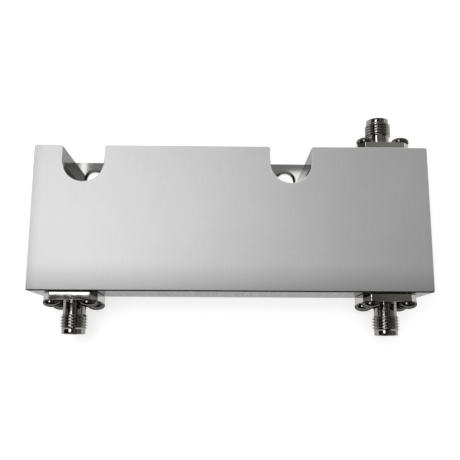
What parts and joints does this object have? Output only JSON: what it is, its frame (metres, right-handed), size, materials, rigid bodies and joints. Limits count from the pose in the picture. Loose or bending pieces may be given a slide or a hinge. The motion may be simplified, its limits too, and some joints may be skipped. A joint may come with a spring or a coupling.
{
  "type": "coaxial directional coupler",
  "caption": "Flat milled metal coupler for radio signals, with U-shaped mounting notches and threaded coaxial flange jacks on its long edges.",
  "frame": {"origin": "centre of the whole object's box at its lowest level, on the rear cover's outer face", "axes": "+X to the right and +Y upwards when the front face is looked at, +Z out of the front face"},
  "size_m": [0.0944, 0.0542, 0.0155],
  "materials": {
    "housing": "satin plated, fine matt grain, broken edges",
    "cover": "satin plated, smooth",
    "plate": "bare, milled",
    "jack": "bright plated, turned",
    "jack_screw": "bright plated pan heads",
    "screw": "plain steel",
    "ptfe": "smooth waxy white",
    "ptfe_board": "matt",
    "gold": "gold plated, bright",
    "laminate": "matt",
    "copper": "bright copper",
    "ceramic": "matt black",
    "brass": "machined"
  },
  "bodies": {
    "root": {"centre_board": "laminate", "coupled_connector_body": "jack", "coupled_connector_contact": "gold", "coupled_connector_insulator": "ptfe", "coupled_connector_screw_1": "jack_screw", "coupled_connector_screw_2": "jack_screw", "coupled_connector_screw_3": "jack_screw", "coupled_connector_screw_4": "jack_screw", "coupled_line": "copper", "cover_screw_1": "screw", "cover_screw_10": "screw", "cover_screw_2": "screw", "cover_screw_3": "screw", "cover_screw_4": "screw", "cover_screw_5": "screw", "cover_screw_6": "screw", "cover_screw_7": "screw", "cover_screw_8": "screw", "cover_screw_9": "screw", "housing": "housing", "input_connector_body": "jack", "input_connector_contact": "gold", "input_connector_insulator": "ptfe", "input_connector_screw_1": "jack_screw", "input_connector_screw_2": "jack_screw", "input_connector_screw_3": "jack_screw", "input_connector_screw_4": "jack_screw", "lower_dielectric_board": "ptfe_board", "output_connector_body": "jack", "output_connector_contact": "gold", "output_connector_insulator": "ptfe", "output_connector_screw_1": "jack_screw", "output_connector_screw_2": "jack_screw", "output_connector_screw_3": "jack_screw", "output_connector_screw_4": "jack_screw", "pressure_plate": "plate", "pressure_plate_screw_1": "screw", "pressure_plate_screw_2": "screw", "pressure_plate_screw_3": "screw", "pressure_plate_screw_4": "screw", "pressure_plate_screw_5": "screw", "pressure_plate_screw_6": "screw", "pressure_plate_screw_7": "screw", "rear_cover": "cover", "termination_block": "brass", "termination_pad": "copper", "termination_resistor": "ceramic", "through_line": "copper", "upper_dielectric_board": "ptfe_board"}
  },
  "joints": []
}
